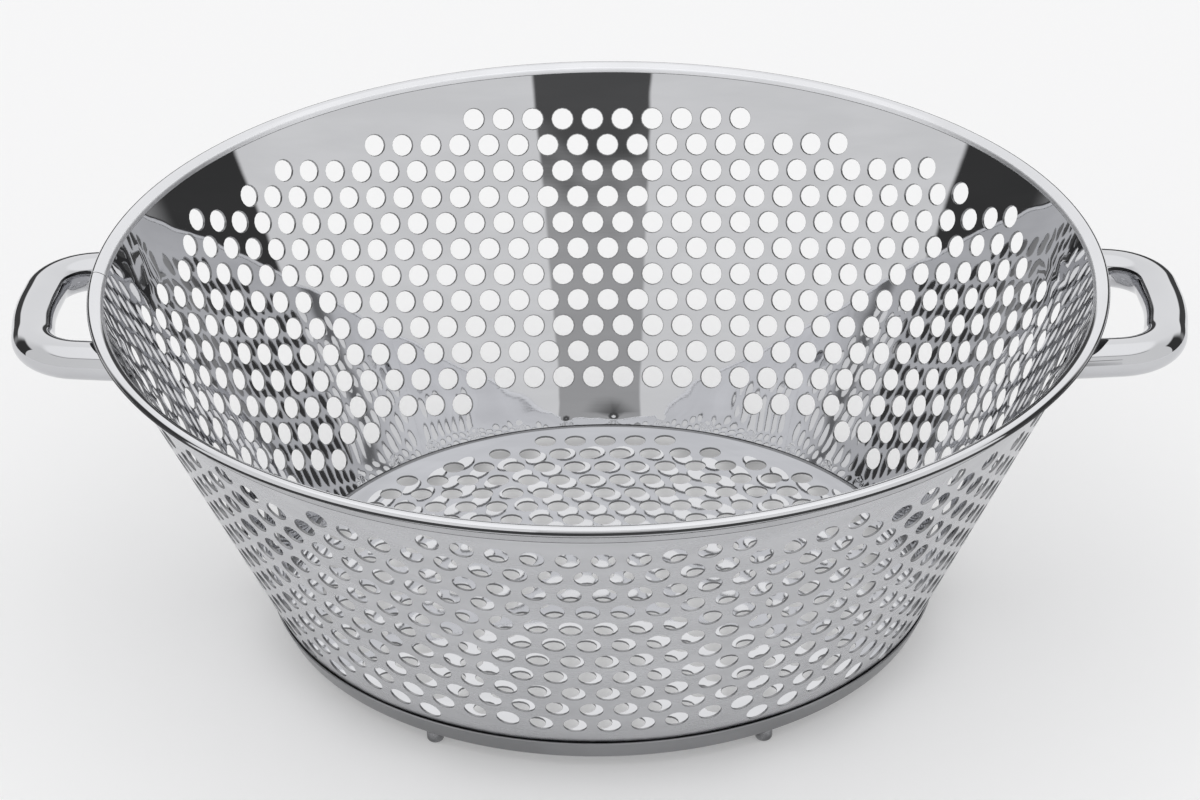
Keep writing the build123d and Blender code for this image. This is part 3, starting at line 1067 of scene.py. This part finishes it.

# %% [markdown]
# ## Dressing the model
# Each piece gets its finishes in the order of its material numbers. It then rides on the body of
# the colander and takes the place of its solid.

# %% Dress, ride and replace
wall_finishes = (polished_inside, satin_outside, torn_and_shaded_edge)
dressed = [
    (wall_back, wall_finishes, "wall_back", "wall_sheet"),
    (wall_front, wall_finishes, "wall_front", "wall_sheet"),
    (floor_pan, (polished_floor, satin_underside, torn_and_shaded_edge), "floor_pan", "floor_sheet"),
    (rim, (polished_rim, rim_painted_shade, satin_hem, satin_lip), "rim_ring", "rim"),
    (handle_right, (buffed_bar,), "handle_right", "handle"),
    (handle_left, (buffed_bar,), "handle_left", "handle"),
    *((foot, (turned_stud,), node, "foot") for node, foot in feet.items()),
]
for piece, finishes, node, slot in dressed:
    for finish in finishes:
        piece.data.materials.append(finish)
    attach(piece, "root")
    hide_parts(node)
print("pieces dressed:", len(dressed))

# %% [markdown]
# ## The studio
# Polished steel shows its surroundings, so they are part of the picture. Around the colander is a
# soft tent of light: bright overhead, with even panels to the left and right, a dark opening
# between them, and dark flags at the sides. It could be built from lamps and cards. Drawn on the
# world by direction, with smooth steps between its parts, it gives the same soft light with less
# noise. Two angles name a direction: round the bowl from the side of the picture, and above the
# horizon.

# %% Directions of the tent
DEGREES = 180 / np.pi
world = bpy.data.worlds.new("tent")
bpy.context.scene.world = world
tent = Finish(world)
direction = tent.node("ShaderNodeTexCoord", {}, {}, "Generated")
x, y, z = (tent.node("ShaderNodeSeparateXYZ", {}, {"Vector": direction}, axis) for axis in "XYZ")
side = x.math("ARCTAN2", y * -1) * DEGREES  # 0 towards -Y, where the picture is taken from
rise = z.math("ARCSINE") * DEGREES
away = side.math("ABSOLUTE")
print("the world is drawn by side, rise and away, in degrees")


# %% Parts of the tent
def painted(level, share, brightness):
    """A level with another brightness painted over it: level (1 - share) + brightness share."""
    return level * (1 - share) + brightness * share


# The opening is 13 degrees to either side and leans over and widens a little as it goes up.
slant = rise.between(20.0, 28.0)
from_opening = (side - 1.5 - slant).math("ABSOLUTE") - slant
opening = (1 - from_opening.between(13.0, 14.2)) * (1 - rise.between(26.5, 27.5))
opening_level = 0.46 - 0.36 * rise.between(23.5, 25.0)

# A flag stands beside the bowl at each side, and lower down the back of the room is dark.
flag = away.between(93.2, 94.8) * (1 - rise.between(28.0, 34.0)) * (1 - away.between(118.0, 135.0))
back = away.between(118.0, 135.0) * (1 - rise.between(11.0, 14.5))

# The roof is the brightest part, and a seam runs along its edge in front.
roof = rise.between(50.0, 58.0)
seam = rise.between(48.5, 50.0) * (1 - rise.between(50.5, 52.5)) * (1 - away.between(60.0, 80.0))
print("parts of the tent: opening, flags, back, roof and seam")

# %% Light of the tent
PANEL_LEVEL, BACK_MORE = 0.88, 0.2  # of the even panels, and how much brighter they are behind
FLAG_LEVEL, BACK_LEVEL, ROOF_LEVEL, BACKDROP_LEVEL = 0.05, 0.07, 1.22, 0.95

level = PANEL_LEVEL + BACK_MORE * away.between(100.0, 140.0)
level = painted(level, opening, opening_level)
level = painted(level, flag, FLAG_LEVEL)
level = painted(level, back, BACK_LEVEL)
level = painted(level, roof, ROOF_LEVEL)
level = level * (1 - 0.7 * seam)
plain_backdrop = tent.node("ShaderNodeLightPath", {}, {}, "Is Camera Ray")
level = painted(level, plain_backdrop, BACKDROP_LEVEL)
light = tent.node("ShaderNodeBackground", {}, {"Color": (1.0, 1.0, 1.0, 1.0), "Strength": level})
tent.node("ShaderNodeOutputWorld", {}, {"Surface": light})
print("nodes of the tent:", len(tent.tree.nodes))

# %% [markdown]
# ## The floor of the studio
# The colander stands on a pale round card. It is a little brighter than the light on it, like a
# card lit from below, so that the shadow stays soft. It is no part of the colander.

# %% Floor of the studio
CARD_RADIUS, CARD_SIDES = 0.6, 96  # metres

card_points = np.pad(CARD_RADIUS * on_circle(full_turn(CARD_SIDES)), ((0, 0), (0, 1)))
floor_mesh = bpy.data.meshes.new("studio_floor")
floor_mesh.from_pydata(card_points.tolist(), [], [list(range(CARD_SIDES))])
studio_floor = bpy.data.objects.new("studio_floor", floor_mesh)
bpy.context.scene.collection.objects.link(studio_floor)
pale = Finish(bpy.data.materials.new("pale_floor"))
card = {
    "Base Color": (0.7, 0.7, 0.705, 1),
    "Roughness": 0.9,
    "Specular IOR Level": 0.0,
    "Emission Color": (1.0, 1.0, 1.0, 1),
    "Emission Strength": 0.25,
}
surface = pale.node("ShaderNodeBsdfPrincipled", {}, card)
pale.node("ShaderNodeOutputMaterial", {}, {"Surface": surface})
floor_mesh.materials.append(pale.owner)
print("studio floor:", 2 * CARD_RADIUS, "m across")

# %% [markdown]
# ## The camera
# The camera looks down on the bowl from the front with a long lens, a little to the right of the
# middle and tilted by less than a degree. Such numbers could be found by trial, but a camera that
# was fitted to the middles of the holes puts every row where the picture has it.

# %% Camera
AZIMUTH, PITCH, ROLL = 0.027, 0.5027, 0.0155  # radians
STAND_OFF, STAND_UP = 0.9825, 0.5958  # metres from the bowl's axis and above the table
FOCAL, PICTURE_WIDTH = 4515.9, 1200  # pixels
SENSOR = 36.0  # mm

lens_data = bpy.data.cameras.new("camera")
lens_data.sensor_width = SENSOR
lens_data.lens = FOCAL * SENSOR / PICTURE_WIDTH
lens_data.clip_start, lens_data.clip_end = 0.05, 50
camera = bpy.data.objects.new("camera", lens_data)
bpy.context.scene.collection.objects.link(camera)
camera.location = (STAND_OFF * np.sin(AZIMUTH), -STAND_OFF * np.cos(AZIMUTH), STAND_UP)
look_down = Matrix.Rotation(AZIMUTH, 4, "Z") @ Matrix.Rotation(np.pi / 2 - PITCH, 4, "X")
camera.rotation_euler = (look_down @ Matrix.Rotation(-ROLL, 4, "Z")).to_euler()
bpy.context.scene.camera = camera
bpy.context.scene.view_settings.view_transform = "Standard"
print("lens in mm:", round(lens_data.lens, 1))
